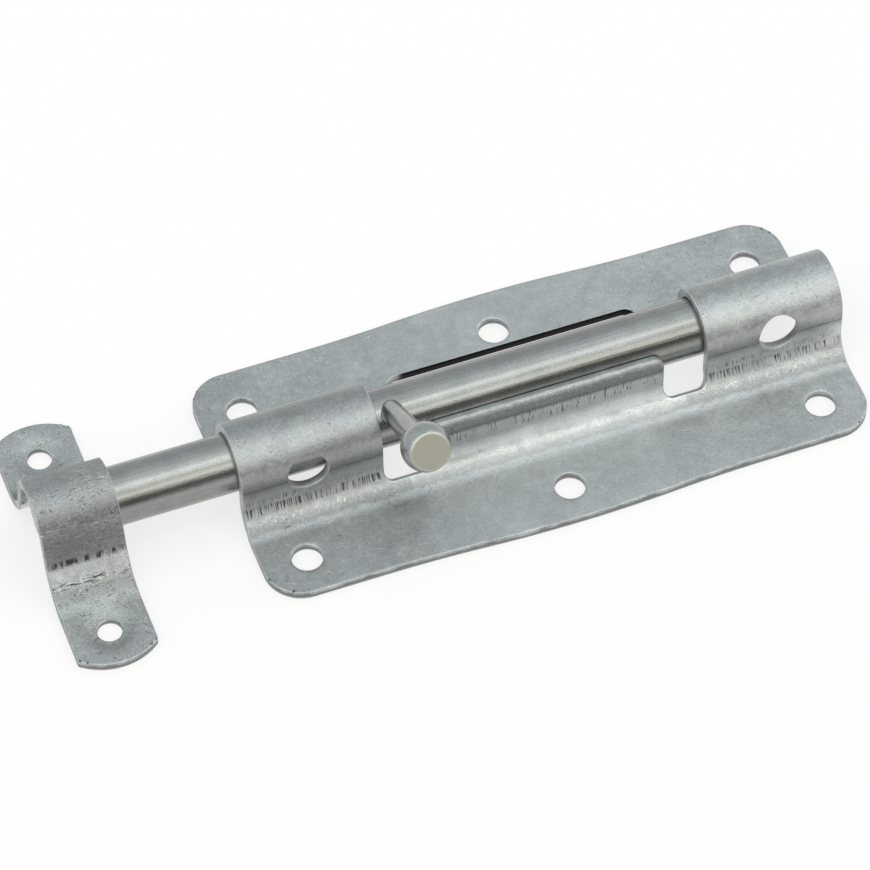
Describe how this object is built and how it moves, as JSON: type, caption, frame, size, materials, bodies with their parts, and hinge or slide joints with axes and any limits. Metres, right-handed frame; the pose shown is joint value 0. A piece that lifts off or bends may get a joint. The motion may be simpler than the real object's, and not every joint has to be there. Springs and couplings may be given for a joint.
{
  "type": "slide bolt",
  "caption": "Zinc-plated slide bolt: a round bolt with a ball-ended side handle slides in two hoops bent from its screw-on plate and enters a separate strap keeper.",
  "frame": {"origin": "centre of the base plate's four corner screw holes, on the face that lies on the door", "axes": "+X along the bolt away from the keeper, -Y toward the guard's side, +Z out of the door"},
  "size_m": [0.1832, 0.0673, 0.0368],
  "materials": {
    "plate_steel": "zinc-plated pressed sheet, mottled satin",
    "bar_steel": "zinc-plated drawn bar, fine lengthwise streaks",
    "handle_steel": "zinc-plated turned steel, satin"
  },
  "bodies": {
    "plate": {"base_plate": "plate_steel"},
    "bolt": {"bolt_bar": "bar_steel"},
    "handle": {"handle_stem": "handle_steel", "handle_knob": "handle_steel"},
    "keeper": {"keeper": "plate_steel"}
  },
  "joints": [
    {"name": "bolt_slide", "type": "slide", "parent": "plate", "child": "bolt", "axis": [1, 0, 0], "range_m": [-0.0011, 0.0679]},
    {"name": "handle_turn", "type": "hinge", "parent": "bolt", "child": "handle", "pos_m": [-0.0334, 0, 0.0136], "axis": [-1, 0, 0], "range_deg": [-48.6, 154.5]},
    {"name": "keeper_off", "type": "slide", "parent": "plate", "child": "keeper", "axis": [-1, 0, 0], "range_m": [0, 0.04]}
  ]
}
